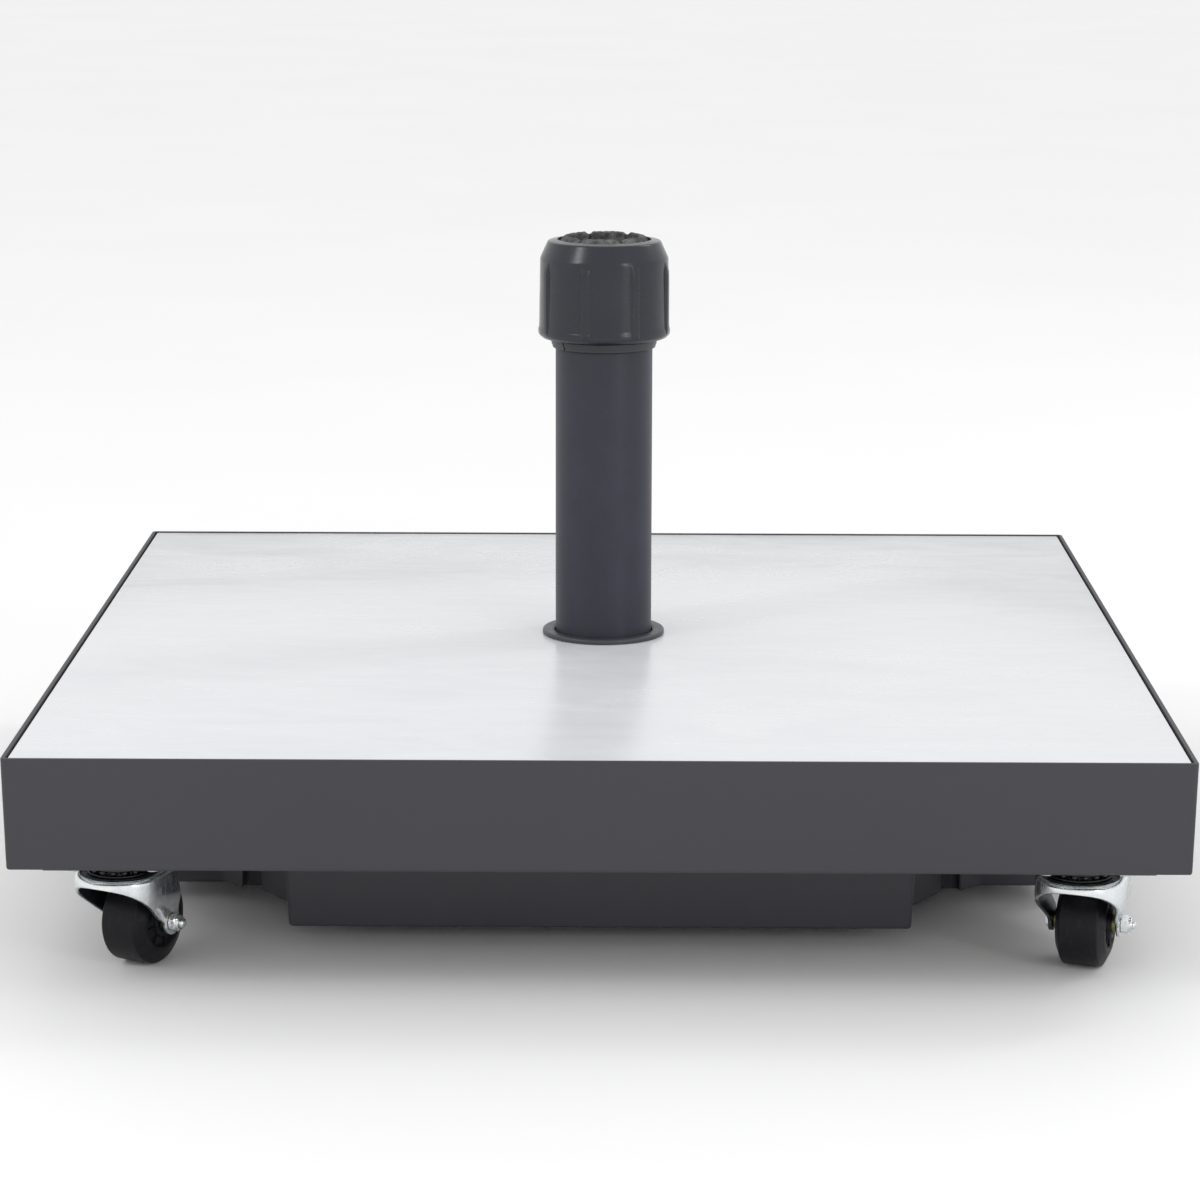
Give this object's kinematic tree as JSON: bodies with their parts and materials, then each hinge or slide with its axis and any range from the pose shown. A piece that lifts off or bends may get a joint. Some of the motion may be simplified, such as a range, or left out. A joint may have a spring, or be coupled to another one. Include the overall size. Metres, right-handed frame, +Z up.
{
  "type": "parasol base",
  "caption": "Square wheeled parasol base: stone-topped ballast frame on swivel castors, with an upright pole tube and a hand-turned clamp cap.",
  "frame": {"origin": "on the floor, under the middle of the square base", "axes": "+Z up along the pole tube, +Y towards the back, -Y towards the front, +X to the right seen from the front; at rest the cap is loose and each castor stands at its own stored yaw"},
  "size_m": [0.7, 0.7, 0.4161],
  "materials": {
    "anthracite_powder_coat": "matte anthracite powder coat",
    "pale_ceramic": "satin pale grey",
    "anthracite_tray": "matte anthracite",
    "concrete": "cast, rough",
    "anthracite_tube": "satin anthracite powder coat",
    "bolt_steel": "zinc plated",
    "cover_ring_plastic": "dark grey, fine grained",
    "guide_plastic": "black",
    "collar_plastic": "dark grey",
    "pressure_ring_plastic": "near black",
    "jaw_rubber": "dark grey, grained",
    "cap_plastic": "dark grey, semi-gloss",
    "zinc_plate": "bright zinc plated",
    "wheel_plastic": "black",
    "bush_brass": "yellow passivated",
    "race_steel": "greased steel",
    "corner_plate_paint": "matte anthracite"
  },
  "bodies": {
    "base": {"frame": "anthracite_powder_coat", "top_plate": "pale_ceramic", "ballast_tray": "anthracite_tray", "ballast_casting": "concrete", "stand_tube": "anthracite_tube", "foot_bolt_1": "bolt_steel", "foot_bolt_2": "bolt_steel", "foot_bolt_3": "bolt_steel", "foot_bolt_4": "bolt_steel", "cover_ring": "cover_ring_plastic", "pole_guide": "guide_plastic", "threaded_collar": "collar_plastic", "front_left_corner_plate": "corner_plate_paint", "front_left_mount_plate": "zinc_plate", "front_left_kingpin": "zinc_plate", "front_right_corner_plate": "corner_plate_paint", "front_right_mount_plate": "zinc_plate", "front_right_kingpin": "zinc_plate", "rear_left_corner_plate": "corner_plate_paint", "rear_left_mount_plate": "zinc_plate", "rear_left_kingpin": "zinc_plate", "rear_right_corner_plate": "corner_plate_paint", "rear_right_mount_plate": "zinc_plate", "rear_right_kingpin": "zinc_plate"},
    "clamp_press": {"pressure_ring": "pressure_ring_plastic"},
    "clamp_hand_cap": {"clamp_cap": "cap_plastic"},
    "jaw_1_body": {"clamp_jaw_1": "jaw_rubber"},
    "jaw_2_body": {"clamp_jaw_2": "jaw_rubber"},
    "jaw_3_body": {"clamp_jaw_3": "jaw_rubber"},
    "jaw_4_body": {"clamp_jaw_4": "jaw_rubber"},
    "jaw_5_body": {"clamp_jaw_5": "jaw_rubber"},
    "jaw_6_body": {"clamp_jaw_6": "jaw_rubber"},
    "front_left_castor": {"front_left_fork": "zinc_plate", "front_left_ball_race": "race_steel", "front_left_bush": "bush_brass", "front_left_axle_bolt": "zinc_plate", "front_left_axle_nut": "zinc_plate"},
    "front_left_roller": {"front_left_wheel": "wheel_plastic"},
    "front_right_castor": {"front_right_fork": "zinc_plate", "front_right_ball_race": "race_steel", "front_right_bush": "bush_brass", "front_right_axle_bolt": "zinc_plate", "front_right_axle_nut": "zinc_plate"},
    "front_right_roller": {"front_right_wheel": "wheel_plastic"},
    "rear_left_castor": {"rear_left_fork": "zinc_plate", "rear_left_ball_race": "race_steel", "rear_left_bush": "bush_brass", "rear_left_axle_bolt": "zinc_plate", "rear_left_axle_nut": "zinc_plate"},
    "rear_left_roller": {"rear_left_wheel": "wheel_plastic"},
    "rear_right_castor": {"rear_right_fork": "zinc_plate", "rear_right_ball_race": "race_steel", "rear_right_bush": "bush_brass", "rear_right_axle_bolt": "zinc_plate", "rear_right_axle_nut": "zinc_plate"},
    "rear_right_roller": {"rear_right_wheel": "wheel_plastic"}
  },
  "joints": [
    {"name": "press_travel", "type": "slide", "parent": "base", "child": "clamp_press", "axis": [0, 0, 1], "range_m": [-0.00446, 0]},
    {"name": "cap_turn", "type": "hinge", "parent": "clamp_press", "child": "clamp_hand_cap", "pos_m": [0, 0, 0.38], "axis": [0, 0, 1], "range_deg": [-400, 0]},
    {"name": "jaw_1_close", "type": "slide", "parent": "base", "child": "jaw_1_body", "axis": [-0.1045, -0.9945, 0], "range_m": [0, 0.00202]},
    {"name": "jaw_2_close", "type": "slide", "parent": "base", "child": "jaw_2_body", "axis": [-0.9135, -0.4067, 0], "range_m": [0, 0.00202]},
    {"name": "jaw_3_close", "type": "slide", "parent": "base", "child": "jaw_3_body", "axis": [-0.809, 0.5878, 0], "range_m": [0, 0.00202]},
    {"name": "jaw_4_close", "type": "slide", "parent": "base", "child": "jaw_4_body", "axis": [0.1045, 0.9945, 0], "range_m": [0, 0.00202]},
    {"name": "jaw_5_close", "type": "slide", "parent": "base", "child": "jaw_5_body", "axis": [0.9135, 0.4067, 0], "range_m": [0, 0.00202]},
    {"name": "jaw_6_close", "type": "slide", "parent": "base", "child": "jaw_6_body", "axis": [0.809, -0.5878, 0], "range_m": [0, 0.00202]},
    {"name": "front_left_swivel", "type": "hinge", "parent": "base", "child": "front_left_castor", "pos_m": [-0.29, -0.29, 0.065], "axis": [0, 0, 1], "continuous": true},
    {"name": "front_left_roll", "type": "hinge", "parent": "front_left_castor", "child": "front_left_roller", "pos_m": [-0.27951, -0.26942, 0.0272], "axis": [0.891, -0.454, 0], "continuous": true},
    {"name": "front_right_swivel", "type": "hinge", "parent": "base", "child": "front_right_castor", "pos_m": [0.29, -0.29, 0.065], "axis": [0, 0, 1], "continuous": true},
    {"name": "front_right_roll", "type": "hinge", "parent": "front_right_castor", "child": "front_right_roller", "pos_m": [0.29729, -0.26808, 0.0272], "axis": [0.9489, -0.3156, 0], "continuous": true},
    {"name": "rear_left_swivel", "type": "hinge", "parent": "base", "child": "rear_left_castor", "pos_m": [-0.29, 0.29, 0.065], "axis": [0, 0, 1], "continuous": true},
    {"name": "rear_left_roll", "type": "hinge", "parent": "rear_left_castor", "child": "rear_left_roller", "pos_m": [-0.2806, 0.3111, 0.0272], "axis": [0.9135, -0.4067, 0], "continuous": true},
    {"name": "rear_right_swivel", "type": "hinge", "parent": "base", "child": "rear_right_castor", "pos_m": [0.29, 0.29, 0.065], "axis": [0, 0, 1], "continuous": true},
    {"name": "rear_right_roll", "type": "hinge", "parent": "rear_right_castor", "child": "rear_right_roller", "pos_m": [0.29828, 0.31157, 0.0272], "axis": [0.9336, -0.3584, 0], "continuous": true}
  ],
  "couplings": [
    {"joint": "press_travel", "follows": "cap_turn", "m_per_rad": 0.00063662},
    {"joint": "jaw_1_close", "follows": "cap_turn", "m_per_rad": -0.00028648},
    {"joint": "jaw_2_close", "follows": "cap_turn", "m_per_rad": -0.00028648},
    {"joint": "jaw_3_close", "follows": "cap_turn", "m_per_rad": -0.00028648},
    {"joint": "jaw_4_close", "follows": "cap_turn", "m_per_rad": -0.00028648},
    {"joint": "jaw_5_close", "follows": "cap_turn", "m_per_rad": -0.00028648},
    {"joint": "jaw_6_close", "follows": "cap_turn", "m_per_rad": -0.00028648}
  ]
}
